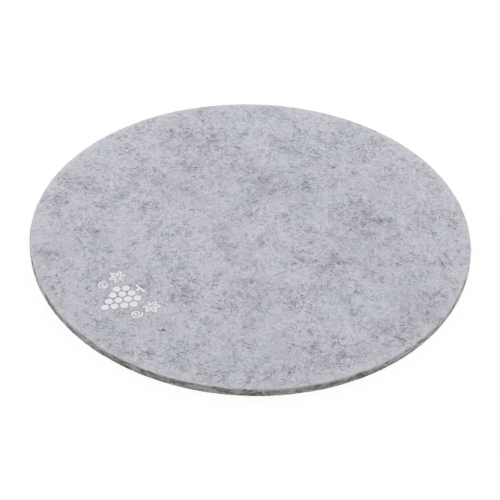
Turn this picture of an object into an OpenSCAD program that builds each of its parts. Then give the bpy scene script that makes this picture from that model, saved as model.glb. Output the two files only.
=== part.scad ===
// Round felt coaster: one die-cut disc of needled felt with a white print pressed into its face.
// Millimetres. The origin is the middle of the underside and +Z is up.
// The print lies near the rim on the -Y side and reads along +X, with its top towards the middle.

/* [Felt disc] */
// Diameter of the die-cut disc
disc_d = 100; // [80:1:160]
// Thickness of the felt sheet
felt_t = 1.8; // [1.4:0.1:5]
// Radius that the cutting die draws down along the top edge
top_edge_r = 0.5; // [0.1:0.05:0.8]
// Radius that is left along the bottom edge
bottom_edge_r = 0.15; // [0.05:0.05:0.4]

/* [Print] */
// Thickness of the transfer film, which the press sinks flush with the felt
film_t = 0.12; // [0.06:0.02:0.3]
// Bare felt between the rim and the lowest point of the print
rim_margin = 8; // [5:0.5:14]
// Bare felt between the bunch, the leaves, the tendrils and the stem
island_gap = 0.35; // [0.2:0.05:0.8]

/* [Berries] */
// Diameter of one printed berry
berry_d = 1.75; // [1.2:0.05:2.4]
// Bare felt between neighbouring berries
berry_gap = 0.3; // [0.15:0.05:0.6]

/* [Stem] */
// Width of the stem
stem_w = 0.7; // [0.4:0.05:1.2]
// Height of the stem under the cane
stem_h = 0.8; // [0.4:0.05:1.5]
// Length of the piece of cane across the top of the stem
cane_len = 3.2; // [1.6:0.1:5]
// Thickness of the cane
cane_t = 0.6; // [0.3:0.05:1]

/* [Leaves] */
// Length of a leaf's middle lobe, from the heart of the leaf to its tip
leaf_r = 2.6; // [1.8:0.1:3.4]
// Length of a leaf's stalk, from the heart of the leaf towards the stem
stalk_len = 1.4; // [0.8:0.1:2]
// Width of a leaf's stalk
stalk_w = 0.4; // [0.25:0.05:0.6]
// Width of the bare veins in a leaf
vein_w = 0.22; // [0.1:0.02:0.4]
// Droop of a leaf's middle lobe below the horizontal, in degrees
leaf_droop = 10; // [0:1:30]

/* [Tendrils] */
// Radius of a tendril's outermost turn, at the middle of its line
tendril_r = 1.3; // [0.9:0.05:1.8]
// Width of a tendril's line where it starts
tendril_w = 0.45; // [0.25:0.05:0.5]
// Diameter of the bud at a tendril's inner end
bud_d = 0.7; // [0.4:0.05:0.9]

/* [Hidden] */
$fn = 96;
// How far a cut reaches past the face that it opens
overrun = 1;
disc_r = disc_d / 2;

// Berries in each row, from the tip of the bunch upwards
BERRY_ROWS = [1, 2, 3, 4, 3];
PACKING_ANGLE = 60;
berry_pitch = berry_d + berry_gap;
row_rise = berry_pitch * sin(PACKING_ANGLE);
bunch_w = (max(BERRY_ROWS) - 1) * berry_pitch + berry_d;
bunch_h = (len(BERRY_ROWS) - 1) * row_rise + berry_d;
// Centre of each berry, row by row, with the tip of the bunch at the origin
BERRY_CENTRES = [
    for (row = [0 : len(BERRY_ROWS) - 1], k = [0 : BERRY_ROWS[row] - 1])
        [(k - (BERRY_ROWS[row] - 1) / 2) * berry_pitch, berry_d / 2 + row * row_rise]
];

stem_base = bunch_h + island_gap;
motif_h = stem_base + stem_h + cane_t;
motif_y = rim_margin - disc_r;

// Each lobe of a leaf: its turn from the middle lobe in degrees, and its share of leaf_r
LOBE_TURNS = [-104, -52, 0, 52, 104];
LOBE_LENGTH_SHARES = [0.72, 0.9, 1, 0.9, 0.72];
lobe_width_share = 0.5;
vein_length_share = 0.68;
leaf_hub_share = 0.24;
// How far the tips of the lobes reach from the heart of a leaf, along a direction in degrees
function leaf_reach(direction) = leaf_r * max([
    for (k = [0 : len(LOBE_TURNS) - 1])
        LOBE_LENGTH_SHARES[k] * cos(LOBE_TURNS[k] - leaf_droop - direction)
]);
leaf_x = bunch_w / 2 + island_gap + max(stalk_len, leaf_reach(180));
leaf_y = motif_h - leaf_reach(90);

tendril_turns = 1.6;
tendril_start = 70;
tendril_steps = 32;
tendril_core_share = 0.22;
tendril_tip_share = 0.6;
tendril_x = bunch_w / 2 + island_gap + tendril_r + tendril_w / 2;
tendril_y = leaf_y - leaf_reach(-90) - island_gap - tendril_r - tendril_w / 2;

FELT_COLOUR = [0.73, 0.73, 0.76];
FILM_COLOUR = [0.9, 0.9, 0.91];

SIDES = ["left", "right"];
BERRY_NODES = [for (k = [1 : len(BERRY_CENTRES)]) str("print_berry_", k)];
LEAF_NODES = [for (side = SIDES) str("print_leaf_", side)];
TENDRIL_NODES = [for (side = SIDES) str("print_tendril_", side)];

// Half of the disc's section: a flat sheet whose two corners are rounded by the cut
module disc_section() {
    square([disc_r - top_edge_r, felt_t]);
    translate([0, bottom_edge_r])
        square([disc_r, felt_t - top_edge_r - bottom_edge_r]);
    square([disc_r - bottom_edge_r, felt_t - top_edge_r]);
    translate([disc_r - top_edge_r, felt_t - top_edge_r])
        circle(r = top_edge_r);
    translate([disc_r - bottom_edge_r, bottom_edge_r])
        circle(r = bottom_edge_r);
}

// Draws a shape that belongs on the right of the print on the side asked for
module on_side(side) {
    mirror([side == "left" ? 1 : 0, 0, 0])
        children();
}

module berry_outline(k) {
    translate(BERRY_CENTRES[k])
        circle(d = berry_d);
}

// A short stem under a cut piece of cane
module stem_outline() {
    translate([-stem_w / 2, stem_base])
        square([stem_w, stem_h + cane_t]);
    translate([-cane_len / 2, stem_base + stem_h])
        square([cane_len, cane_t]);
}

// A pointed lobe along +X: what two equal circles have in common
module lobe_outline(length, width) {
    arc_r = (length * length + width * width) / (4 * width);
    intersection_for (way = [-1, 1])
        translate([length / 2, way * (arc_r - width / 2)])
            circle(r = arc_r);
}

// A vine leaf of five lobes on a short stalk, with its veins left bare
module leaf_outline() {
    translate([leaf_x, leaf_y])
        rotate(-leaf_droop) {
            difference() {
                union() {
                    circle(r = leaf_r * leaf_hub_share);
                    for (k = [0 : len(LOBE_TURNS) - 1])
                        rotate(LOBE_TURNS[k])
                            lobe_outline(
                                leaf_r * LOBE_LENGTH_SHARES[k],
                                leaf_r * LOBE_LENGTH_SHARES[k] * lobe_width_share
                            );
                }
                for (k = [0 : len(LOBE_TURNS) - 1])
                    rotate(LOBE_TURNS[k])
                        translate([0, -vein_w / 2])
                            square([leaf_r * LOBE_LENGTH_SHARES[k] * vein_length_share, vein_w]);
            }
            translate([-stalk_len, -stalk_w / 2])
                square([stalk_len, stalk_w]);
        }
}

// A point on one edge of the tendril's line: along runs from 0 at its start to 1, and edge is -1 or 1
function tendril_point(along, edge) =
    let (
        turn = tendril_start - along * tendril_turns * 360,
        middle_r = tendril_r * (1 - along * (1 - tendril_core_share)),
        half_w = tendril_w / 2 * (1 - along * (1 - tendril_tip_share))
    )
    (middle_r + edge * half_w) * [cos(turn), sin(turn)];

// A curl that winds inwards and ends in a bud
module tendril_outline() {
    inner_end = (tendril_point(1, -1) + tendril_point(1, 1)) / 2;
    translate([tendril_x, tendril_y]) {
        polygon(concat(
            [for (k = [0 : tendril_steps]) tendril_point(k / tendril_steps, -1)],
            [for (k = [tendril_steps : -1 : 0]) tendril_point(k / tendril_steps, 1)]
        ));
        translate(inner_end)
            circle(d = bud_d);
    }
}

// Puts an outline of the print in its place, as film or as the cut that the film is pressed into
module pressed(height) {
    translate([0, motif_y, felt_t - film_t])
        linear_extrude(height = height)
            children();
}

module film() {
    color(FILM_COLOUR)
        pressed(film_t)
            children();
}

module felt_disc() {
    color(FELT_COLOUR)
        difference() {
            rotate_extrude()
                disc_section();
            pressed(film_t + overrun) {
                stem_outline();
                for (side = SIDES)
                    on_side(side) {
                        leaf_outline();
                        tendril_outline();
                    }
                for (k = [0 : len(BERRY_CENTRES) - 1])
                    berry_outline(k);
            }
        }
}

module print_stem() {
    film()
        stem_outline();
}

module print_leaf(side) {
    film()
        on_side(side)
            leaf_outline();
}

module print_tendril(side) {
    film()
        on_side(side)
            tendril_outline();
}

module print_berry(k) {
    film()
        berry_outline(k);
}

felt_disc();
print_stem();
for (k = [0 : len(SIDES) - 1]) {
    print_leaf(SIDES[k]);
    print_tendril(SIDES[k]);
}
for (k = [0 : len(BERRY_CENTRES) - 1])
    print_berry(k);
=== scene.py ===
import math

import bpy
import numpy as np
from mathutils import Matrix, Vector, noise
from mathutils.bvhtree import BVHTree


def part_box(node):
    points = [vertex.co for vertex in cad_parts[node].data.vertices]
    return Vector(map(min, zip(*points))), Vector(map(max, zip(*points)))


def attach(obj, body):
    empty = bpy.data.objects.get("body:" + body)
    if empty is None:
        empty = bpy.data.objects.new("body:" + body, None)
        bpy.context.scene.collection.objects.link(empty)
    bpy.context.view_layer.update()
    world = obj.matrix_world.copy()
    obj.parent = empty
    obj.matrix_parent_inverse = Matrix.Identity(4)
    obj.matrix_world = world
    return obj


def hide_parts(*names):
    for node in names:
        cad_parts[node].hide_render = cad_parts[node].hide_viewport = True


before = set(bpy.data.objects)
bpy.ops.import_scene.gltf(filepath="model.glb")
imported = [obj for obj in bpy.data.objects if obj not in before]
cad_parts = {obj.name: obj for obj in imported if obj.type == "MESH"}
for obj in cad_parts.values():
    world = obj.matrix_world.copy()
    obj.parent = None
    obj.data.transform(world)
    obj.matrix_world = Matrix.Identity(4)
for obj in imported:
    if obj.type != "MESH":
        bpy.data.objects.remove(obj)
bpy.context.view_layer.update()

MM = 0.001
QUARTER_TURN = math.pi / 2
FULL_TURN = 2 * math.pi
# What keeps a length of zero from stopping a division, and the size of a rounding error in a turn
TINY = 1e-12
ROUNDING = 1e-6
BODY = "root"
FILM_PREFIX = "print_"
BAKE_MAP = "OFBake"
# What the felt's mesh hands to its materials: the depth below the face in millimetres down the cut edge,
# how near the rim, and how far under the heat press
DEPTH_VALUES = "cut"
RIM_VALUES = "rim"
PRESSED_VALUES = "pressed"

# The felt disc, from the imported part, and how far its nap stands above the thickness that a gauge reads
disc_low, disc_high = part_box("felt_disc")
NAP_LOFT = 0.1 * MM
DISC_R = (disc_high.x - disc_low.x) / 2
FELT_T = disc_high.z - disc_low.z + NAP_LOFT
FILM_NODES = sorted(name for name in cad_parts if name.startswith(FILM_PREFIX))

# The felt's edge: the die draws the top corner down, more in some places than in others, and leaves the
# bottom one nearly square
CORNER_W = 0.14 * MM
CORNER_DROP = (0.05 * MM, 0.38 * MM)
BOTTOM_R = 0.15 * MM
# Its drop along the rim: the usual share of that range, and the length, height and seed of its waves
CORNER_SHARE = 0.5
CORNER_WAVES = (
    (9 * MM, 0.55, 71),
    (2.5 * MM, 0.35, 73),
)
# The disc sprang a little out of round when it was cut: number of lobes, their height and their turn
OUT_OF_ROUND = (3, 0.18 * MM, math.radians(94))
# The cut draws the sheet's rim down a little: over what width, and how far at the rim
RIM_DRAW = (3 * MM, 0.04 * MM)
# Width of the band along the rim that is painted paler: partly pale fibres that the die loosened, partly a
# painted sheen where the rim catches the light
RIM_FIBRE_AND_SHEEN_BAND = 5.5 * MM
# Cut wall: length and height of a torn layer, how far the layers stand in or out, and their seed
WALL_LAYER = (1.6 * MM, 0.3 * MM, 0.05 * MM, 31)

# Relief of the felt's faces, as the width and height of its humps: waves of the sheet, lumps that the
# needles left, and nap
FACE_RELIEF = (
    (32 * MM, 0.05 * MM),
    (2.6 * MM, 0.032 * MM),
    (1.0 * MM, 0.02 * MM),
)
RELIEF_SEED_STEP = 7.3
TOP_SEED = 0
UNDER_SEED = 50
# The underside lies on the table and keeps this share of its relief
UNDER_RELIEF_SHARE = 0.5

# Fineness of the felt's mesh: rings of six sides in its faces, and steps down its edge
RING_SIDES = 6
TOP_RINGS = 144
UNDER_RINGS = TOP_RINGS // 2
CORNER_STEPS = 5
WALL_STEPS = 5
FOOT_STEPS = 2
# The felt's bake map, in shares of the map: centre and radius of each face, and the number, length, height
# and margins of the strips that hold the wall, which its relief takes a little above the felt's thickness
MAP_TOP = ((0.37, 0.63), 0.355)
MAP_UNDER = ((0.835, 0.335), 0.155)
MAP_STRIPS = 4
MAP_STRIP_LENGTH = 0.97
MAP_STRIP_HEIGHT = 0.035
MAP_MARGINS = (0.01, 0.005)
MAP_HIGHEST_SHARE = 1.05

# Heat press: how deep it sinks the felt round the film, how far out it reaches, and how flat the nap gets
PRESS_DEPTH = 0.06 * MM
PRESS_REACH = 0.8 * MM
PRESS_FLATTENS = 0.75
# The film's mesh, and how much of the felt's relief it shows
FILM_VOXEL_MM = 0.047
FILM_SHOWS = 0.35

# Fibres are three-sided tubes: the share of their thickness that their ends have, the bare margin of a
# fibre's cell in the bake map, and where the corners of its ends lie in that cell
STRAND_SIDES = 3
STRAND_TIP_SHARE = 0.45
CELL_MARGIN = 0.1
CAP_U = (0.0, 0.02, 0.0)
CAP_V = (0.1, 0.5, 0.9)
# A crimped fibre bends in two waves: their lengths, how tightly they bend, and how much both differ from
# fibre to fibre
CRIMPS = (2.2 * MM, 4.5 * MM)
CRIMP_BEND_R = 1.4 * MM
CRIMP_SPREAD = (0.7, 1.4)
BEND_SPREAD = (0.3, 1.0)

# Fibres that lie on the face: seed, number of tufts, fibres in a tuft, length and thickness of a fibre,
# size of the patches that the tufts crowd into, and how sharply they do
DARK_FIBRES = (11, 1750, (1, 3), (1.5 * MM, 4.5 * MM), (0.03 * MM, 0.052 * MM), 9 * MM, 7)
PALE_FIBRES = (12, 1700, (1, 2), (2 * MM, 6 * MM), (0.03 * MM, 0.05 * MM), 14 * MM, 2)
LYING_STEPS = 8
# A patch has smaller ones in it: their weight, how many times smaller they are, and their step in the seed
SMALL_PATCHES = (0.6, 2.7, 5)
# Places tried for each tuft, and the crowding at which half of them are taken
TUFT_TRIES = 6
TUFT_CROWDING = 0.25
# How far a tuft's fibres start from its middle, and how they fan out in radians
TUFT_SPREAD = 0.2 * MM
TUFT_FAN = 0.5
# How the fibres weave in and out of the face: length and height of a wave, and how deep its middle lies
WEAVE_LENGTH = (1.5 * MM, 4 * MM)
WEAVE_HEIGHT = 0.05 * MM
WEAVE_DEPTH = 0.02 * MM
# How far the felt may be pressed where they lie
LYING_PRESSED = 0.35

# Loose ends that stand out of the face, with their roots a little under it. They rise at an angle in
# degrees, lean over and turn aside in radians per millimetre, and keep off felt that is pressed more than
# a little
NAP_SEED = 14
NAP_COUNT = 6500
NAP_LENGTH = (0.3 * MM, 0.9 * MM)
NAP_THICKNESS = (0.022 * MM, 0.036 * MM)
NAP_STEPS = 4
NAP_ROOT = 0.03 * MM
NAP_RISE = (15, 75)
NAP_LEAN = (0.3, 1.6)
NAP_TURN = (-1.5, 1.5)
NAP_PRESSED = 0.1

# Loose ends that stand out of the cut wall, from shares of its height. They lean to either side in
# radians, rise by a slope, both with a mean and a spread, curl in radians per millimetre, reach out by a
# share of their length, and keep off the table
FUZZ_SEED = 13
FUZZ_COUNT = 2600
FUZZ_HEIGHT_SHARES = (0.08, 1.0)
FUZZ_LENGTH = (0.25 * MM, 0.75 * MM)
FUZZ_THICKNESS = (0.016 * MM, 0.03 * MM)
FUZZ_STEPS = 5
FUZZ_ROOT = 0.1 * MM
FUZZ_LEAN = (0, 0.9)
FUZZ_RISE = (0.1, 0.4)
FUZZ_CURL = (-1.6, 1.6)
FUZZ_REACH_SHARE = 0.7
FUZZ_LOWEST = 0.04 * MM

# Cut fibres that lie along the wall, at shares of its height. They slope with a mean and a spread, bend per
# millimetre, stand a little off the wall, and keep off the table and the face
CUT_SEED = 15
CUT_COUNT = 4200
CUT_HEIGHT_SHARES = (0.06, 0.9)
CUT_LENGTH = (0.3 * MM, 1.3 * MM)
CUT_THICKNESS = (0.03 * MM, 0.06 * MM)
CUT_STEPS = 4
CUT_SLOPE = (0, 0.35)
CUT_BEND = (-0.35, 0.35)
CUT_STAND = (0, 0.04 * MM)
CUT_LOWEST = 0.05 * MM
CUT_HIGHEST = 0.95 * FELT_T

# The fibres were carded more one way than across it: that way's turn from +Y, and how much longer the
# melange is along it
CARDING = (math.radians(48), 1.2)
NOISE_ROUGHNESS = 0.55
# The melange of the felt's faces, in millimetres: the size of a cloud, the detail and seed of its noise,
# the part of the noise that counts, and the tone at either end of that part
MELANGE_TONE = 0.86
MELANGE_CLOUDS = (
    (24.0, 1.0, 9.0, (0.3, 0.7), (0.02, -0.02)),
    (11.0, 2.0, 71.0, (0.46, 0.72), (0.0, -0.11)),
    (3.2, 2.0, 2.0, (0.5, 0.76), (0.0, -0.2)),
    (1.3, 2.0, 3.0, (0.5, 0.78), (0.0, -0.21)),
)
NAP_GRAIN = (
    (0.45, 2.0, 5.0, (0.25, 0.75), (-0.115, 0.105)),
    (0.22, 1.0, 6.0, (0.25, 0.75), (-0.065, 0.06)),
)
# Patches that the dark hairs crowd into, and patches of undyed pale fibres, in the same terms
HAIR_PATCHES = (3.4, 2.0, 4.0, (0.42, 0.68), (0.3, 1.0))
UNDYED_PATCHES = (7.5, 2.0, 8.0, (0.46, 0.64), (0.1, 0.9))
# Curly hairs in the nap: size of a curl, width of a hair, seed and tone. A single fibre is 0.03 mm thick,
# too fine to show, so each hair is drawn as wide as a bundle of a few
DARK_HAIRS = (
    (2.2, 0.15, 11.0, -0.365),
    (1.5, 0.13, 19.0, -0.4),
    (1.1, 0.12, 23.0, -0.385),
    (0.8, 0.1, 37.0, -0.35),
)
PALE_HAIRS = (
    (2.6, 0.16, 83.0, 0.1),
    (1.3, 0.1, 51.0, 0.13),
    (0.9, 0.1, 67.0, 0.11),
)
# The noise of the curls: its middle value, its detail, how far it wanders, and how much it changes over the
# size of a curl
NOISE_MIDDLE = 0.5
HAIR_DETAIL = 1.0
CURL_WANDER = 0.5
CURL_SLOPE = 0.35
# A hair's lengths against the size of its curls, their step in the seed, and the noise where they fade in
HAIR_LENGTHS = (1.1, 3.7, (0.45, 0.57))
# Colours of the dark fibres, the dyed and undyed pale ones and the rim, and how far the rim takes its own
DARK_SHADE = "494A5D"
PALE_SHADES = ("DBDAE3", "D8DAE2")
# The rim's colour is partly loosened pale fibres and partly a painted sheen where the rim catches the light
RIM_FIBRE_AND_SHEEN_SHADE = "D9DADD"
RIM_FIBRE_AND_SHEEN_SHARE = 0.38
# Felt round the print is painted darker, partly because pressed felt is denser and partly as painted shade
# in the groove round the film: it shows this share of its tone
PRESSED_AND_SHADED_TONE = 0.84
# Torn layers in the cut wall, in millimetres: length along the rim and height of a layer, its seed, the
# part of the noise that counts, and the tone at either end of that part
WALL_TONE = 0.76
WALL_SHADES = ("2A2A29", "DEDEDD")
TORN_LAYERS = (
    (5.0, 1.4, 37.0, (0.38, 0.62), (0.3, -0.3)),
    (2.0, 0.6, 22.0, (0.34, 0.66), (0.23, -0.23)),
    (0.8, 0.4, 23.0, (0.3, 0.7), (0.22, -0.22)),
    (0.35, 0.25, 24.0, (0.25, 0.75), (0.24, -0.24)),
)
TORN_DETAIL = 2.0
# Depths in millimetres between which the face gives way to the wall, and how far a layer's tone shifts them
WALL_STARTS = (-0.03, 0.13)
WALL_RAGGED = -0.6
# Tones of single cut fibres against the layer that they lie on
CUT_FIBRE_TONES = (WALL_TONE - 0.25, WALL_TONE + 0.45)
# Height of the nap on the face, of the torn layers and of the unevenness in the film, for the shading
NAP_BUMP = 0.12 * MM
TORN_BUMP = 0.2 * MM
FILM_BUMP = 0.05 * MM
# Unevenness of the film: size of its humps in millimetres, its noise's detail, and the part that counts
FILM_HUMPS = (0.6, 3.0, (0.3, 0.7))
FILM_SHADES = ("EAEBEF", "F1F2F5")
# Colours of the fibres that stand or lie free, from the darkest to the palest in each set
DARK_FIBRE_SHADES = ("252634", "545568")
PALE_FIBRE_SHADES = ("CFCFD8", "F0F0F6")
MIXED_FIBRE_SHADES = ("50505C", "EAEAF2")
POLYESTER_IOR = 1.57
POLYURETHANE_IOR = 1.5

# Camera that was fitted to the outline in the photograph
PHOTO_PIXELS = 500
FOCAL_PIXELS = 1326.7
SENSOR_MM = 36
NEAREST_SEEN = 10 * MM
CAMERA_DISTANCE = 6 * DISC_R
CAMERA_AZIMUTH = math.radians(48)
CAMERA_ELEVATION = math.radians(40.80)
CAMERA_ROLL = math.radians(-1.633)
# Where it aims, from the middle of the underside: to the right and away from the camera
AIM_RIGHT = -0.0021 * DISC_R
AIM_AWAY = -0.1059 * DISC_R
RIGHT = Vector((math.cos(CAMERA_AZIMUTH), math.sin(CAMERA_AZIMUTH), 0))
AWAY = Vector((-math.sin(CAMERA_AZIMUTH), math.cos(CAMERA_AZIMUTH), 0))
UP = Vector((0, 0, 1))
# Soft boxes: how far to the right of the coaster, behind it and above it, width, height and watts
SOFT_BOXES = {
    "overhead_soft_box": (0.0, 0.27, 0.33, 0.8, 0.4, 0.55),
    "right_soft_box": (0.58, 0.26, 0.22, 0.4, 0.4, 1.85),
    "left_soft_box": (-0.55, 0.36, 0.22, 0.4, 0.4, 1.95),
}
WHITE = "FFFFFF"
SURROUND_LIGHT = 0.5
# The floor reaches this far to each side, just under the coaster. It is seen as a glow with a little
# shade, and throws light back as a pale surface
FLOOR_REACH = 4.0
FLOOR_DEPTH = 0.02 * MM
FLOOR_GLOW = 0.93
FLOOR_SHADE = "545454"
FLOOR_BOUNCE = "CCCCCB"


def to_linear(hex_colour):
    """A colour written as sRGB hex, as Blender's linear RGBA."""
    parts = [int(hex_colour[k:k + 2], 16) / 255 for k in (0, 2, 4)]
    return (*[c / 12.92 if c <= 0.04045 else ((c + 0.055) / 1.055) ** 2.4 for c in parts], 1.0)


def add(tree, kind, inputs=(), **settings):
    """Adds a node, sets it up and links it. An input's value is a number, a node, or a node with an
    output's name."""
    made = tree.nodes.new("ShaderNode" + kind)
    for name, value in settings.items():
        setattr(made, name, value)
    for name, value in dict(inputs).items():
        if isinstance(name, int):
            socket = made.inputs[name]
        else:
            socket = next(s for s in made.inputs if s.enabled and s.name == name)
        source, output = value if isinstance(value, tuple) and len(value) == 2 else (value, None)
        if isinstance(source, bpy.types.Node):
            found = source.outputs[output] if output else next(s for s in source.outputs if s.enabled)
            tree.links.new(found, socket)
        else:
            socket.default_value = value
    return made


def new_material(name):
    """An empty material, and its tree of nodes."""
    made = bpy.data.materials.new(name)
    made.use_nodes = True
    made.node_tree.nodes.clear()
    return made, made.node_tree


def noise_at(points, size, seed):
    """Smooth noise from -1 to 1 at each point, with humps about size across."""
    scaled = np.asarray(points) / size
    return np.array([noise.noise((x, y, z + seed)) for x, y, z in scaled])


def smoothstep(low, high, values):
    """A share that rises smoothly from 0 at low to 1 at high."""
    share = np.clip((values - low) / (high - low), 0, 1)
    return share * share * (3 - 2 * share)


def film_surfaces():
    """The film's CAD nodes as one tree for distances in plan."""
    corners = []
    faces = []
    for name in FILM_NODES:
        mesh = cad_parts[name].data
        start = len(corners)
        corners += [v.co.copy() for v in mesh.vertices]
        faces += [[start + k for k in face.vertices] for face in mesh.polygons]
    return BVHTree.FromPolygons(corners, faces)


FILM_TREE = film_surfaces()
film_boxes = [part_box(name) for name in FILM_NODES]
PRINT_LOW = Vector([min(low[k] for low, high in film_boxes) - PRESS_REACH for k in range(2)])
PRINT_HIGH = Vector([max(high[k] for low, high in film_boxes) + PRESS_REACH for k in range(2)])


def pressed_at(x, y):
    """How far the heat press has flattened the felt at each place: 1 under the film, 0 away from it."""
    pressed = np.zeros(len(x))
    near = (x > PRINT_LOW.x) & (x < PRINT_HIGH.x) & (y > PRINT_LOW.y) & (y < PRINT_HIGH.y)
    for k in np.flatnonzero(near):
        pressed[k] = FILM_TREE.find_nearest((x[k], y[k], disc_high.z))[3]
    pressed[near] = 1 - smoothstep(0, PRESS_REACH, pressed[near])
    return pressed


def near_rim(x, y, width):
    """How near the rim each place is: 0 as far in as width, and rising to 1 at the rim."""
    return np.clip((np.hypot(x, y) - DISC_R + width) / width, 0, 1) ** 2


def relief_at(x, y, seed):
    """Height of a felt face over its mean plane."""
    plan = np.column_stack([x, y, np.zeros(len(x))])
    return sum(
        height * noise_at(plan, size, seed + RELIEF_SEED_STEP * k)
        for k, (size, height) in enumerate(FACE_RELIEF)
    )


def top_at(x, y):
    """Height of the felt's upper face at each place."""
    width, depth = RIM_DRAW
    drawn = near_rim(x, y, width) * depth
    pressed = pressed_at(x, y)
    relief = relief_at(x, y, TOP_SEED) * (1 - PRESS_FLATTENS * pressed)
    return FELT_T - drawn + relief - PRESS_DEPTH * pressed


def rim_swell(turns):
    """How far the disc's rim stands out of or inside a true circle at each turn."""
    lobes, height, start = OUT_OF_ROUND
    return height * np.cos(lobes * turns + start)


def swollen(plan):
    """The plan points of a face, moved out or in with the rim."""
    x, y = plan.T
    return plan * (1 + rim_swell(np.arctan2(y, x)) * np.hypot(x, y) / DISC_R ** 2)[:, None]


def corner_drop(turns):
    """How far down the die drew the top corner at each turn."""
    rim = DISC_R * np.column_stack([np.cos(turns), np.sin(turns), np.zeros(len(turns))])
    share = np.full(len(turns), CORNER_SHARE)
    for length, height, seed in CORNER_WAVES:
        share += height * noise_at(rim, length, seed)
    least, most = CORNER_DROP
    return least + (most - least) * np.clip(share, 0, 1)


def mesh_piece(name, points, faces, materials, face_materials=None, uv=None, point_values=()):
    """A mesh object from arrays: points, a list of arrays of equal-sided faces, and optional slots,
    bake map and named values at the points, for its material."""
    mesh = bpy.data.meshes.new(name)
    sides = np.concatenate([np.full(len(part), part.shape[1]) for part in faces])
    corners = np.concatenate([part.ravel() for part in faces])
    starts = np.concatenate([[0], np.cumsum(sides)[:-1]])
    mesh.vertices.add(len(points))
    mesh.vertices.foreach_set("co", np.asarray(points, np.float32).ravel())
    mesh.loops.add(len(corners))
    mesh.loops.foreach_set("vertex_index", corners.astype(np.int32))
    mesh.polygons.add(len(sides))
    mesh.polygons.foreach_set("loop_start", starts.astype(np.int32))
    mesh.polygons.foreach_set("use_smooth", np.ones(len(sides), bool))
    for material in materials:
        mesh.materials.append(material)
    if face_materials is not None:
        mesh.polygons.foreach_set("material_index", face_materials.astype(np.int32))
    mesh.update(calc_edges=True)
    if uv is not None:
        mesh.uv_layers.new(name=BAKE_MAP).data.foreach_set("uv", uv.astype(np.float32).ravel())
    for value_name, values in dict(point_values).items():
        held = mesh.attributes.new(value_name, "FLOAT", "POINT")
        held.data.foreach_set("value", values.astype(np.float32))
    made = bpy.data.objects.new(name, mesh)
    bpy.context.scene.collection.objects.link(made)
    return made


def ring_disc(rings, radius):
    """A disc of nearly equal triangles: its plan points, six more in each ring than in the one inside it and
    the rim last, and its faces."""
    points = [(0.0, 0.0)]
    faces = []
    inner_start = 0
    inner_count = 1
    for k in range(1, rings + 1):
        outer_start = inner_start + inner_count
        outer_count = RING_SIDES * k
        turns = np.arange(outer_count) / outer_count * FULL_TURN
        ring_r = radius * k / rings
        points += list(zip(ring_r * np.cos(turns), ring_r * np.sin(turns)))
        side, step = (grid.ravel() for grid in np.mgrid[0:RING_SIDES, 0:k])
        inner = inner_start + (side * (k - 1) + step) % inner_count
        next_inner = inner_start + (side * (k - 1) + step + 1) % inner_count
        outer = outer_start + side * k + step
        next_outer = outer_start + (side * k + step + 1) % outer_count
        faces.append(np.column_stack([inner, outer, next_outer]))
        within = step < k - 1
        faces.append(np.column_stack([inner, next_outer, next_inner])[within])
        inner_start = outer_start
        inner_count = outer_count
    return np.array(points), np.concatenate(faces)


def edge_section(turns):
    """Rows down the felt's edge, from the face to the foot: the radius, the height at each turn, and
    the share of the wall's torn layers that the row has."""
    drop = corner_drop(turns)
    wall_top = FELT_T - drop
    section = []
    for k in range(1, CORNER_STEPS + 1):
        share = k / CORNER_STEPS
        turn = share * QUARTER_TURN
        radius = DISC_R - CORNER_W * (1 - math.sin(turn))
        section.append((radius, wall_top + drop * math.cos(turn), share))
    for k in range(1, WALL_STEPS + 1):
        section.append((DISC_R, wall_top + (BOTTOM_R - wall_top) * k / WALL_STEPS, 1.0))
    for k in range(1, FOOT_STEPS):
        turn = k / FOOT_STEPS * QUARTER_TURN
        radius = DISC_R - BOTTOM_R * (1 - math.cos(turn))
        section.append((radius, np.full(len(turns), BOTTOM_R * (1 - math.sin(turn))), 1.0))
    return section


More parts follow.
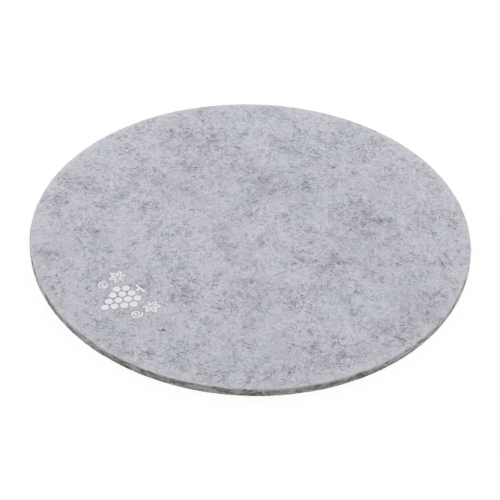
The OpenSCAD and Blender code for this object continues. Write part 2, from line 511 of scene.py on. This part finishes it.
def felt_disc(face_material, cut_material):
    """The felt itself, as one closed sheet: upper face, drawn corner, torn wall and underside."""
    columns = RING_SIDES * TOP_RINGS
    turns = np.arange(columns) / columns * FULL_TURN
    top_plan, top_faces = ring_disc(TOP_RINGS, DISC_R - CORNER_W)
    under_plan, under_faces = ring_disc(UNDER_RINGS, DISC_R - BOTTOM_R)
    top_plan = swollen(top_plan)
    under_plan = swollen(under_plan)
    top = np.column_stack([top_plan, top_at(*top_plan.T)])
    under_lift = np.abs(relief_at(*under_plan.T, UNDER_SEED)) * UNDER_RELIEF_SHARE
    under_lift[-RING_SIDES * UNDER_RINGS:] = 0
    under = np.column_stack([under_plan, under_lift])

    layer_length, layer_height, layer_stand, layer_seed = WALL_LAYER
    rim_lift = top[-columns:, 2] - FELT_T
    section = edge_section(turns)
    rows = []
    for radius, height, torn in section:
        row = np.column_stack([radius * np.cos(turns), radius * np.sin(turns), height])
        layers = noise_at(row / (layer_length, layer_length, layer_height), 1, layer_seed)
        row[:, :2] *= (1 + (rim_swell(turns) + torn * layer_stand * layers) / radius)[:, None]
        row[:, 2] += rim_lift * (height / FELT_T) ** 2
        rows.append(row)
    points = np.concatenate([top, *rows, under])
    under_start = len(points) - len(under)

    at = np.arange(columns)
    after = (at + 1) % columns
    starts = [len(top) + k * columns for k in range(-1, len(rows))]
    wall_faces = np.concatenate([
        np.column_stack([upper + at, lower + at, lower + after, upper + after])
        for upper, lower in zip(starts, starts[1:])
    ])
    # The underside's rim has half as many points as the wall above it
    half = np.arange(columns // 2)
    rim_start = len(points) - len(half)
    here = rim_start + half
    there = rim_start + (half + 1) % len(half)
    left = starts[-1] + 2 * half
    middle = left + 1
    right = starts[-1] + (2 * half + 2) % columns
    foot_faces = np.concatenate([
        np.column_stack([left, here, middle]),
        np.column_stack([middle, here, there]),
        np.column_stack([middle, there, right]),
    ])
    faces = [top_faces, under_start + under_faces[:, ::-1], foot_faces, wall_faces]
    slots = np.concatenate([
        np.zeros(len(top_faces) + len(under_faces)),
        np.ones(len(foot_faces) + len(wall_faces)),
    ])

    wall_depths = [(FELT_T - height) / MM for _, height, _ in section]
    depth = np.concatenate([np.zeros(len(top)), *wall_depths, np.zeros(len(under))])
    rim = near_rim(points[:, 0], points[:, 1], RIM_FIBRE_AND_SHEEN_BAND)
    rim[under_start:] = 0
    pressed = np.zeros(len(points))
    pressed[:len(top)] = pressed_at(*top_plan.T)
    point_values = {DEPTH_VALUES: depth, RIM_VALUES: rim, PRESSED_VALUES: pressed}
    uv = disc_map(points, faces)
    return mesh_piece("felt_sheet", points, faces, [face_material, cut_material], slots, uv, point_values)


def disc_map(points, faces):
    """Bake map of the felt: the upper face large, the underside small beside it, and the wall in strips
    below them."""
    top_faces, under_faces, foot_faces, wall_faces = faces
    side_margin, strip_margin = MAP_MARGINS

    def disc(part, centre, share):
        return points[part.ravel()][:, :2] / DISC_R * share + centre

    def strip(part):
        place = points[part]
        turn = np.arctan2(place[..., 1], place[..., 0]) % FULL_TURN
        # A face across the place where the turn starts again belongs to the last strip
        turn += FULL_TURN * (turn < turn.max(1, keepdims=True) - math.pi)
        along = turn / FULL_TURN * MAP_STRIPS
        which = np.floor(along.min(1, keepdims=True) + ROUNDING)
        height = np.clip((place[..., 2] - disc_low.z) / FELT_T, 0, MAP_HIGHEST_SHARE) * MAP_STRIP_HEIGHT
        u = side_margin + (along - which) * MAP_STRIP_LENGTH
        v = strip_margin + (which % MAP_STRIPS) * (MAP_STRIP_HEIGHT + strip_margin) + height
        return np.stack([u, v], -1).reshape(-1, 2)

    return np.concatenate([
        disc(top_faces, *MAP_TOP),
        disc(under_faces, *MAP_UNDER),
        strip(foot_faces),
        strip(wall_faces),
    ])


def unit(vectors):
    """Vectors of length 1, or of none where there was none."""
    return vectors / (np.linalg.norm(vectors, axis=-1, keepdims=True) + TINY)


def strand_piece(name, paths, radius, material):
    """Fibres as tubes along paths, thinner towards their ends."""
    count, stations, _ = paths.shape
    ahead = unit(np.gradient(paths, axis=1))
    across = unit(np.cross(ahead, (0, 0, 1)))
    above = np.cross(across, ahead)
    swell = np.sin(np.linspace(0, 1, stations) * math.pi)
    thick = radius[:, None, None] * (STRAND_TIP_SHARE + (1 - STRAND_TIP_SHARE) * swell)[:, None]
    turns = [QUARTER_TURN - k * FULL_TURN / STRAND_SIDES for k in range(STRAND_SIDES)]
    rings = np.stack([paths + thick * (math.cos(a) * across + math.sin(a) * above) for a in turns], 2)

    strand, station, side = (
        grid.ravel() for grid in np.mgrid[0:count, 0:stations - 1, 0:STRAND_SIDES]
    )
    here = (strand * stations + station) * STRAND_SIDES
    beyond = here + STRAND_SIDES
    after = (side + 1) % STRAND_SIDES
    quads = np.column_stack([here + side, here + after, beyond + after, beyond + side])
    first = np.arange(count) * stations * STRAND_SIDES
    last = first + (stations - 1) * STRAND_SIDES
    caps = np.concatenate([
        np.column_stack([first + 2, first + 1, first]),
        np.column_stack([last, last + 1, last + 2]),
    ])

    # Each fibre has a cell of its own in the bake map
    cells = math.ceil(math.sqrt(count))
    inner = 1 - 2 * CELL_MARGIN

    def cell(which, u, v):
        across_map = (which % cells + CELL_MARGIN + inner * u) / cells
        up_map = (which // cells + CELL_MARGIN + inner * v) / cells
        return np.stack([across_map, up_map], -1).reshape(-1, 2)

    u = np.column_stack([station, station, station + 1, station + 1]) / (stations - 1)
    v = np.column_stack([side, side + 1, side + 1, side]) / STRAND_SIDES
    cap_strand = np.tile(np.arange(count), 2)[:, None]
    cap_u = np.repeat([0.0, 1.0], count)[:, None] + CAP_U
    cap_v = np.tile(CAP_V, (2 * count, 1))
    uv = np.concatenate([cell(strand[:, None], u, v), cell(cap_strand, cap_u, cap_v)])
    return mesh_piece(name, rings.reshape(-1, 3), [quads, caps], [material], uv=uv)


def column(values):
    """One value for each fibre, to go with rows of its stations."""
    return values[:, None]


def distances(lengths, steps, start=0.0):
    """Distances along each fibre at its stations, from a share of its length onwards."""
    return np.linspace(start, start + 1, steps + 1)[None, :] * column(lengths)


def strand_paths(rng, starts, headings, lengths, steps):
    """Plan paths of crimped fibres, which turn one way and then the other."""
    count = len(starts)
    along = distances(lengths, steps)
    heading = column(headings)
    for crimp in CRIMPS:
        wave = crimp * column(rng.uniform(*CRIMP_SPREAD, count))
        swing = wave / (FULL_TURN * CRIMP_BEND_R) * column(rng.uniform(*BEND_SPREAD, count))
        phase = column(rng.uniform(0, FULL_TURN, count))
        heading = heading + swing * np.sin(along / wave * FULL_TURN + phase)
    stride = column(lengths / steps)
    x = starts[:, :1] + np.cumsum(np.cos(heading) * stride, 1)
    y = starts[:, 1:] + np.cumsum(np.sin(heading) * stride, 1)
    return np.stack([x, y], -1)


def lying_fibres(name, settings, material):
    """Fibres that weave in and out of the upper face, in tufts that crowd into patches as the needles
    left them."""
    seed, tufts, tuft, length, thickness, patch, sharpness = settings
    rng = np.random.default_rng(seed)
    tries = TUFT_TRIES * tufts
    radius = DISC_R * np.sqrt(rng.uniform(0, 1, tries))
    turn = rng.uniform(0, FULL_TURN, tries)
    places = np.column_stack([radius * np.cos(turn), radius * np.sin(turn), np.zeros(tries)])
    weight, smaller, seed_step = SMALL_PATCHES
    crowding = noise_at(places, patch, seed) + weight * noise_at(places, patch / smaller, seed + seed_step)
    chance = 1 / (1 + np.exp(-sharpness * (crowding - TUFT_CROWDING)))
    places = places[rng.uniform(0, 1, tries) < chance][:tufts, :2]

    fewest, most = tuft
    which = np.repeat(np.arange(len(places)), rng.integers(fewest, most + 1, len(places)))
    count = len(which)
    starts = places[which] + rng.normal(0, TUFT_SPREAD, (count, 2))
    headings = rng.uniform(0, FULL_TURN, len(places))[which] + rng.normal(0, TUFT_FAN, count)
    lengths = rng.uniform(*length, count)
    plan = strand_paths(rng, starts, headings, lengths, LYING_STEPS)
    inside = (np.linalg.norm(plan, axis=2) < DISC_R - CORNER_W).all(1)
    plan, lengths = plan[inside], lengths[inside]
    pressed = pressed_at(*plan.reshape(-1, 2).T).reshape(plan.shape[:2])
    clear = (pressed < LYING_PRESSED).all(1)
    plan, lengths = plan[clear], lengths[clear]

    count = len(plan)
    height = top_at(*plan.reshape(-1, 2).T).reshape(plan.shape[:2])
    along = distances(lengths, LYING_STEPS)
    wave = column(rng.uniform(*WEAVE_LENGTH, count))
    phase = column(rng.uniform(0, FULL_TURN, count))
    height += WEAVE_HEIGHT * np.sin(along / wave * FULL_TURN + phase) - WEAVE_DEPTH
    paths = np.concatenate([plan, height[..., None]], 2)
    return strand_piece(name, paths, rng.uniform(*thickness, count) / 2, material)


def standing_nap(name, material):
    """Short loose ends that stand up out of the upper face, most of them leaning over."""
    rng = np.random.default_rng(NAP_SEED)
    radius = (DISC_R - CORNER_W) * np.sqrt(rng.uniform(0, 1, NAP_COUNT))
    turn = rng.uniform(0, FULL_TURN, NAP_COUNT)
    x, y = radius * np.cos(turn), radius * np.sin(turn)
    bare = pressed_at(x, y) < NAP_PRESSED
    x, y = x[bare], y[bare]
    count = len(x)
    lengths = rng.uniform(*NAP_LENGTH, count)
    along = distances(lengths, NAP_STEPS)
    stride = column(lengths / NAP_STEPS)
    rise = column(np.radians(rng.uniform(*NAP_RISE, count)))
    rise = rise - along / MM * column(rng.uniform(*NAP_LEAN, count))
    heading = column(rng.uniform(0, FULL_TURN, count))
    heading = heading + along / MM * column(rng.uniform(*NAP_TURN, count))
    out = np.cumsum(np.cos(rise) * stride, 1) - np.cos(rise[:, :1]) * stride
    up = np.cumsum(np.sin(rise) * stride, 1) - np.sin(rise[:, :1]) * stride
    paths = np.stack([
        column(x) + out * np.cos(heading),
        column(y) + out * np.sin(heading),
        column(top_at(x, y) - NAP_ROOT) + up,
    ], -1)
    return strand_piece(name, paths, rng.uniform(*NAP_THICKNESS, count) / 2, material)


def rim_fuzz(name, material):
    """Short loose ends that stand out of the cut wall and its top corner."""
    rng = np.random.default_rng(FUZZ_SEED)
    turn = rng.uniform(0, FULL_TURN, FUZZ_COUNT)
    height = FELT_T * rng.uniform(*FUZZ_HEIGHT_SHARES, FUZZ_COUNT)
    lengths = rng.uniform(*FUZZ_LENGTH, FUZZ_COUNT)
    along = distances(lengths, FUZZ_STEPS)
    stride = column(lengths / FUZZ_STEPS)
    corner = np.clip(height - (FELT_T - CORNER_W), 0, None)
    root_r = DISC_R - CORNER_W + np.sqrt(CORNER_W ** 2 - corner ** 2) - FUZZ_ROOT + rim_swell(turn)
    lean = column(rng.normal(*FUZZ_LEAN, FUZZ_COUNT))
    rise = column(rng.normal(*FUZZ_RISE, FUZZ_COUNT))
    curl = column(rng.uniform(*FUZZ_CURL, FUZZ_COUNT)) / MM
    heading = lean + curl * along
    out = column(root_r) + np.cumsum(np.cos(heading) * stride, 1) * FUZZ_REACH_SHARE
    angle = column(turn) + np.cumsum(np.sin(heading) * stride, 1) / DISC_R
    up = np.clip(column(height) + rise * along, FUZZ_LOWEST, None)
    paths = np.stack([out * np.cos(angle), out * np.sin(angle), up], -1)
    return strand_piece(name, paths, rng.uniform(*FUZZ_THICKNESS, FUZZ_COUNT) / 2, material)


def cut_ends(name, material):
    """Short cut fibres that lie along the torn layers of the wall and over its top corner."""
    rng = np.random.default_rng(CUT_SEED)
    turn = rng.uniform(0, FULL_TURN, CUT_COUNT)
    height = FELT_T * rng.uniform(*CUT_HEIGHT_SHARES, CUT_COUNT)
    along = distances(rng.uniform(*CUT_LENGTH, CUT_COUNT), CUT_STEPS, start=-0.5)
    slope = column(rng.normal(*CUT_SLOPE, CUT_COUNT))
    bend = column(rng.uniform(*CUT_BEND, CUT_COUNT)) / MM
    angle = column(turn) + along / DISC_R
    up = np.clip(column(height) + slope * along + bend * along ** 2, CUT_LOWEST, CUT_HIGHEST)
    drop = corner_drop(angle.ravel()).reshape(angle.shape)
    above = np.clip((up - FELT_T + drop) / drop, 0, 1)
    wall_r = DISC_R - CORNER_W * (1 - np.sqrt(1 - above ** 2)) + rim_swell(angle)
    out = wall_r + column(rng.uniform(*CUT_STAND, CUT_COUNT))
    rim_r = DISC_R - CORNER_W
    rim = top_at(rim_r * np.cos(angle).ravel(), rim_r * np.sin(angle).ravel()).reshape(angle.shape)
    up = up + (rim - FELT_T) * (up / FELT_T) ** 2
    paths = np.stack([out * np.cos(angle), out * np.sin(angle), up], -1)
    return strand_piece(name, paths, rng.uniform(*CUT_THICKNESS, CUT_COUNT) / 2, material)


def film_island(node, material):
    """One island of the print: the CAD film, finely remeshed, with the felt's relief showing in it."""
    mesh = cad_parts[node].data.copy()
    mesh.transform(Matrix.Scale(1 / MM, 4))
    island = bpy.data.objects.new("film_" + node.removeprefix(FILM_PREFIX), mesh)
    bpy.context.scene.collection.objects.link(island)
    remesh = island.modifiers.new("fine", "REMESH")
    remesh.mode = "VOXEL"
    remesh.voxel_size = FILM_VOXEL_MM
    fine = bpy.data.meshes.new_from_object(island.evaluated_get(bpy.context.evaluated_depsgraph_get()))
    island.modifiers.clear()
    island.data = fine
    fine.transform(Matrix.Scale(MM, 4))
    places = np.empty(len(fine.vertices) * 3)
    fine.vertices.foreach_get("co", places)
    places = places.reshape(-1, 3)
    places[:, 2] += NAP_LOFT + FILM_SHOWS * relief_at(places[:, 0], places[:, 1], TOP_SEED)
    fine.vertices.foreach_set("co", places.ravel())
    fine.polygons.foreach_set("use_smooth", np.ones(len(fine.polygons), bool))
    fine.materials.clear()
    fine.materials.append(material)
    fine.update()
    return island


def melange(tree):
    """Colour of the felt's faces, and the height of their nap."""
    place = add(tree, "TexCoord")
    turn, stretch = CARDING
    mm = add(tree, "Mapping", {
        "Vector": (place, "Object"), "Rotation": (0, 0, turn), "Scale": (MM, stretch * MM, MM),
    }, vector_type="TEXTURE")
    patterns = (*MELANGE_CLOUDS, *NAP_GRAIN, HAIR_PATCHES, UNDYED_PATCHES)
    shades = []
    for size, detail, seed, (low, high), (at_low, at_high) in patterns:
        clouds = add(tree, "TexNoise", {
            "Vector": mm, "W": seed, "Scale": 1 / size, "Detail": detail, "Roughness": NOISE_ROUGHNESS,
        }, noise_dimensions="4D")
        shades.append(add(tree, "MapRange", {
            "Value": clouds, "From Min": low, "From Max": high, "To Min": at_low, "To Max": at_high,
        }, interpolation_type="SMOOTHSTEP"))
    undyed = shades.pop()
    crowded = shades.pop()

    # A hair runs where a noise passes its middle value, broken into lengths by a second noise
    nap = 0.0
    length_share, seed_step, (fades_from, fades_to) = HAIR_LENGTHS
    for size, width, seed, tone in DARK_HAIRS + PALE_HAIRS:
        curls = add(tree, "TexNoise", {
            "Vector": mm, "W": seed, "Scale": 1 / size, "Detail": HAIR_DETAIL,
            "Roughness": NOISE_ROUGHNESS, "Distortion": CURL_WANDER,
        }, noise_dimensions="4D")
        aside = add(tree, "Math", {0: curls, 1: NOISE_MIDDLE}, operation="SUBTRACT")
        aside = add(tree, "Math", {0: aside}, operation="ABSOLUTE")
        hair = add(tree, "MapRange", {
            "Value": aside, "From Min": 0.0, "From Max": CURL_SLOPE * width / size,
            "To Min": tone, "To Max": 0.0,
        }, interpolation_type="SMOOTHSTEP")
        lengths = add(tree, "TexNoise", {
            "Vector": mm, "W": seed + seed_step, "Scale": 1 / (length_share * size),
            "Detail": HAIR_DETAIL, "Roughness": NOISE_ROUGHNESS,
        }, noise_dimensions="4D")
        shown = add(tree, "MapRange", {"Value": lengths, "From Min": fades_from, "From Max": fades_to},
                    interpolation_type="SMOOTHSTEP")
        if tone < 0:
            shown = add(tree, "Math", {0: shown, 1: crowded}, operation="MULTIPLY")
        nap = add(tree, "Math", {0: hair, 1: shown, 2: nap}, operation="MULTIPLY_ADD")
    for grain in shades[len(MELANGE_CLOUDS):]:
        nap = add(tree, "Math", {0: nap, 1: grain}, operation="ADD")
    level = add(tree, "Math", {0: nap, 1: MELANGE_TONE}, operation="ADD")
    for cloud in shades[:len(MELANGE_CLOUDS)]:
        level = add(tree, "Math", {0: level, 1: cloud}, operation="ADD", use_clamp=True)

    dyed_pale, undyed_pale = (to_linear(shade) for shade in PALE_SHADES)
    pale = add(tree, "Mix", {"Factor": undyed, "A": dyed_pale, "B": undyed_pale}, data_type="RGBA")
    colour = add(tree, "Mix", {"Factor": level, "A": to_linear(DARK_SHADE), "B": pale}, data_type="RGBA")
    # The band along the rim is painted paler: partly loosened pale fibres, partly a painted sheen where the
    # rim catches the light
    rim = add(tree, "Attribute", attribute_name=RIM_VALUES)
    loose = add(tree, "MapRange", {"Value": (rim, "Fac"), "To Max": RIM_FIBRE_AND_SHEEN_SHARE})
    colour = add(tree, "Mix", {"Factor": loose, "A": colour, "B": to_linear(RIM_FIBRE_AND_SHEEN_SHADE)}, data_type="RGBA")
    return colour, nap


def felt_face_material():
    """Needle felt of dyed and undyed polyester staple, pressed flat: a dull bluish grey with dark curly
    flecks in loose patches, paler along the rim, partly from loosened pale fibres and partly from a painted
    sheen, with no gloss and a soft bloom where loose ends catch the light."""
    made, tree = new_material("Needle_felt_face")
    colour, nap = melange(tree)
    # Painted shade: the felt round the film is darkened, partly because pressed felt is denser, partly for
    # the shade in the groove that the press leaves
    pressed = add(tree, "Attribute", attribute_name=PRESSED_VALUES)
    denser_and_shaded = add(tree, "MapRange", {"Value": (pressed, "Fac"), "To Min": 1.0, "To Max": PRESSED_AND_SHADED_TONE})
    colour = add(tree, "VectorMath", {0: colour, 1: denser_and_shaded}, operation="MULTIPLY")
    bump = add(tree, "Bump", {"Strength": 0.5, "Distance": NAP_BUMP, "Height": nap})
    shader = add(tree, "BsdfPrincipled", {
        "Base Color": colour, "Roughness": 0.95, "Normal": bump, "Specular IOR Level": 0.2,
        "Sheen Weight": 0.12, "Sheen Roughness": 0.6,
    })
    add(tree, "OutputMaterial", {"Surface": shader})
    return made


def torn_layers(tree):
    """Tone of the layers that show in the cut wall, about zero."""
    place = add(tree, "TexCoord")
    tone = 0.0
    for length, height, seed, (low, high), (at_low, at_high) in TORN_LAYERS:
        scales = [1 / (MM * k) for k in (length, length, height)]
        layers = add(tree, "VectorMath", {0: (place, "Object"), 1: scales}, operation="MULTIPLY")
        torn = add(tree, "TexNoise", {
            "Vector": layers, "W": seed, "Scale": 1.0, "Detail": TORN_DETAIL, "Roughness": NOISE_ROUGHNESS,
        }, noise_dimensions="4D")
        shade = add(tree, "MapRange", {
            "Value": torn, "From Min": low, "From Max": high, "To Min": at_low, "To Max": at_high,
        }, interpolation_type="SMOOTHSTEP")
        tone = add(tree, "Math", {0: tone, 1: shade}, operation="ADD")
    return tone


def wall_colour(tree, tone, shift):
    """Colour of the cut wall, from the tone of its layers and a shift of that tone."""
    dark, pale = (to_linear(shade) for shade in WALL_SHADES)
    level = add(tree, "Math", {0: tone, 1: shift}, operation="ADD", use_clamp=True)
    return add(tree, "Mix", {"Factor": level, "A": dark, "B": pale}, data_type="RGBA")


def felt_cut_material():
    """The felt's die-cut wall: torn layers seen end on, which hold shade between them, so it is darker
    and less blue than the faces and streaked along the rim. The faces' melange runs over the corner to
    a ragged line."""
    made, tree = new_material("Needle_felt_cut_edge")
    face_colour, face_nap = melange(tree)
    tone = torn_layers(tree)
    torn_colour = wall_colour(tree, tone, WALL_TONE)
    cut = add(tree, "Attribute", attribute_name=DEPTH_VALUES)
    ragged = add(tree, "Math", {0: tone, 1: WALL_RAGGED, 2: (cut, "Fac")}, operation="MULTIPLY_ADD")
    starts_at, full_at = WALL_STARTS
    wall_share = add(tree, "MapRange", {"Value": ragged, "From Min": starts_at, "From Max": full_at},
                     interpolation_type="SMOOTHSTEP")
    colour = add(tree, "Mix", {"Factor": wall_share, "A": face_colour, "B": torn_colour}, data_type="RGBA")
    nap = add(tree, "Mix", {"Factor": wall_share, "A": face_nap, "B": tone})
    bump = add(tree, "Bump", {"Strength": 0.6, "Distance": TORN_BUMP, "Height": nap})
    shader = add(tree, "BsdfPrincipled", {
        "Base Color": colour, "Roughness": 1.0, "Normal": bump, "Specular IOR Level": 0.15,
        "Sheen Weight": 0.35, "Sheen Roughness": 0.5,
    })
    add(tree, "OutputMaterial", {"Surface": shader})
    return made


def fibre_material(name, shades, roughness):
    """Single polyester staple fibres, drawn and crimped: each a shade of its own between two tones,
    with a dull plastic shine too fine to see one by one."""
    made, tree = new_material(name)
    strand = add(tree, "NewGeometry")
    dark, pale = (to_linear(shade) for shade in shades)
    colour = add(tree, "Mix", {"Factor": (strand, "Random Per Island"), "A": dark, "B": pale},
                 data_type="RGBA")
    shader = add(tree, "BsdfPrincipled", {
        "Base Color": colour, "Roughness": roughness, "IOR": POLYESTER_IOR,
    })
    add(tree, "OutputMaterial", {"Surface": shader})
    return made


def cut_fibre_material():
    """Polyester staple cut through by the die: dull ends in the tones of the torn layer that they lie
    on, each a little paler or darker than the next."""
    made, tree = new_material("Cut_polyester_fibre")
    strand = add(tree, "NewGeometry")
    darkest, palest = CUT_FIBRE_TONES
    shade = add(tree, "MapRange", {
        "Value": (strand, "Random Per Island"), "To Min": darkest, "To Max": palest,
    })
    colour = wall_colour(tree, torn_layers(tree), shade)
    shader = add(tree, "BsdfPrincipled", {"Base Color": colour, "Roughness": 0.75, "IOR": POLYESTER_IOR})
    add(tree, "OutputMaterial", {"Surface": shader})
    return made


def film_material():
    """White polyurethane transfer film, pressed hot into the felt: matt, nearly opaque, with the nap
    showing through as a faint unevenness."""
    made, tree = new_material("White_transfer_film")
    place = add(tree, "TexCoord")
    mm = add(tree, "VectorMath", {0: (place, "Object"), 1: [1 / MM] * 3}, operation="MULTIPLY")
    size, detail, (low, high) = FILM_HUMPS
    nap = add(tree, "TexNoise", {"Vector": mm, "Scale": 1 / size, "Detail": detail})
    level = add(tree, "MapRange", {"Value": nap, "From Min": low, "From Max": high})
    dull, bright = (to_linear(shade) for shade in FILM_SHADES)
    colour = add(tree, "Mix", {"Factor": level, "A": dull, "B": bright}, data_type="RGBA")
    bump = add(tree, "Bump", {"Strength": 0.3, "Distance": FILM_BUMP, "Height": nap})
    shader = add(tree, "BsdfPrincipled", {
        "Base Color": colour, "Roughness": 0.55, "IOR": POLYURETHANE_IOR, "Normal": bump,
        "Specular IOR Level": 0.3,
    })
    add(tree, "OutputMaterial", {"Surface": shader})
    return made


def seen_rays(tree):
    """1 for the rays that show a backdrop, straight or by a reflection or through something clear, and
    0 for the rays that light the coaster."""
    path = add(tree, "LightPath")
    seen = add(tree, "Math", {0: (path, "Is Camera Ray"), 1: (path, "Is Glossy Ray")}, operation="MAXIMUM")
    return add(tree, "Math", {0: seen, 1: (path, "Is Transmission Ray")}, operation="MAXIMUM")


def floor():
    """A plain pale floor, shown white with the coaster's soft shadow."""
    made, tree = new_material("Pale_floor")
    white = add(tree, "Emission", {"Color": to_linear(WHITE), "Strength": FLOOR_GLOW})
    shade = add(tree, "BsdfDiffuse", {"Color": to_linear(FLOOR_SHADE)})
    shown = add(tree, "AddShader", {0: white, 1: shade})
    bounce = add(tree, "BsdfDiffuse", {"Color": to_linear(FLOOR_BOUNCE)})
    surface = add(tree, "MixShader", {0: seen_rays(tree), 1: bounce, 2: shown})
    add(tree, "OutputMaterial", {"Surface": surface})
    ways = ((-1, -1), (1, -1), (1, 1), (-1, 1))
    corners = np.array([(x * FLOOR_REACH, y * FLOOR_REACH, -FLOOR_DEPTH) for x, y in ways])
    ground = mesh_piece("floor", corners, [np.array([[0, 1, 2, 3]])], [made])


def studio():
    """An even white surround, and soft boxes behind the coaster: one above it and one on either side."""
    world = bpy.data.worlds.new("Studio")
    bpy.context.scene.world = world
    world.use_nodes = True
    tree = world.node_tree
    tree.nodes.clear()
    fill = add(tree, "Background", {"Color": to_linear(WHITE), "Strength": SURROUND_LIGHT})
    white = add(tree, "Background", {"Color": to_linear(WHITE), "Strength": 1.0})
    surround = add(tree, "MixShader", {0: seen_rays(tree), 1: fill, 2: white})
    add(tree, "OutputWorld", {"Surface": surround})

    for name, (right, away, up, width, height, watts) in SOFT_BOXES.items():
        lamp = bpy.data.lights.new(name, "AREA")
        lamp.shape = "RECTANGLE"
        lamp.size = width
        lamp.size_y = height
        lamp.energy = watts
        box = bpy.data.objects.new(name, lamp)
        bpy.context.scene.collection.objects.link(box)
        box.location = right * RIGHT + away * AWAY + up * UP
        box.rotation_mode = "QUATERNION"
        box.rotation_quaternion = (-box.location).to_track_quat("-Z", "Y")


def camera():
    """The photograph's view."""
    back = math.sin(CAMERA_ELEVATION) * UP - math.cos(CAMERA_ELEVATION) * AWAY
    up = back.cross(RIGHT)
    cosine, sine = math.cos(CAMERA_ROLL), math.sin(CAMERA_ROLL)
    rolled_right = cosine * RIGHT - sine * up
    rolled_up = sine * RIGHT + cosine * up
    data = bpy.data.cameras.new("photo_camera")
    data.sensor_width = SENSOR_MM
    data.lens = FOCAL_PIXELS * SENSOR_MM / PHOTO_PIXELS
    data.clip_start = NEAREST_SEEN
    made = bpy.data.objects.new("photo_camera", data)
    bpy.context.scene.collection.objects.link(made)
    place = AIM_RIGHT * RIGHT + AIM_AWAY * AWAY + CAMERA_DISTANCE * back
    axes = Matrix((rolled_right, rolled_up, back)).transposed().to_4x4()
    made.matrix_world = Matrix.Translation(place) @ axes
    bpy.context.scene.camera = made


camera()
studio()
floor()

dark_fibre = fibre_material("Dark_polyester_fibre", DARK_FIBRE_SHADES, roughness=0.6)
pale_fibre = fibre_material("Pale_polyester_fibre", PALE_FIBRE_SHADES, roughness=0.5)
mixed_fibre = fibre_material("Mixed_polyester_fibre", MIXED_FIBRE_SHADES, roughness=0.6)
fibres = [
    lying_fibres("dark_fibres", DARK_FIBRES, dark_fibre),
    lying_fibres("pale_fibres", PALE_FIBRES, pale_fibre),
    standing_nap("standing_nap", mixed_fibre),
    rim_fuzz("rim_fuzz", pale_fibre),
    cut_ends("cut_ends", cut_fibre_material()),
]
felt = felt_disc(felt_face_material(), felt_cut_material())
film = film_material()
islands = {node: film_island(node, film) for node in FILM_NODES}

for piece in [felt, *fibres]:
    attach(piece, BODY)
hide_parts("felt_disc")
for node, island in islands.items():
    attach(island, BODY)
    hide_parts(node)

scene = bpy.context.scene
scene.view_settings.view_transform = "Standard"

bpy.context.view_layer.update()
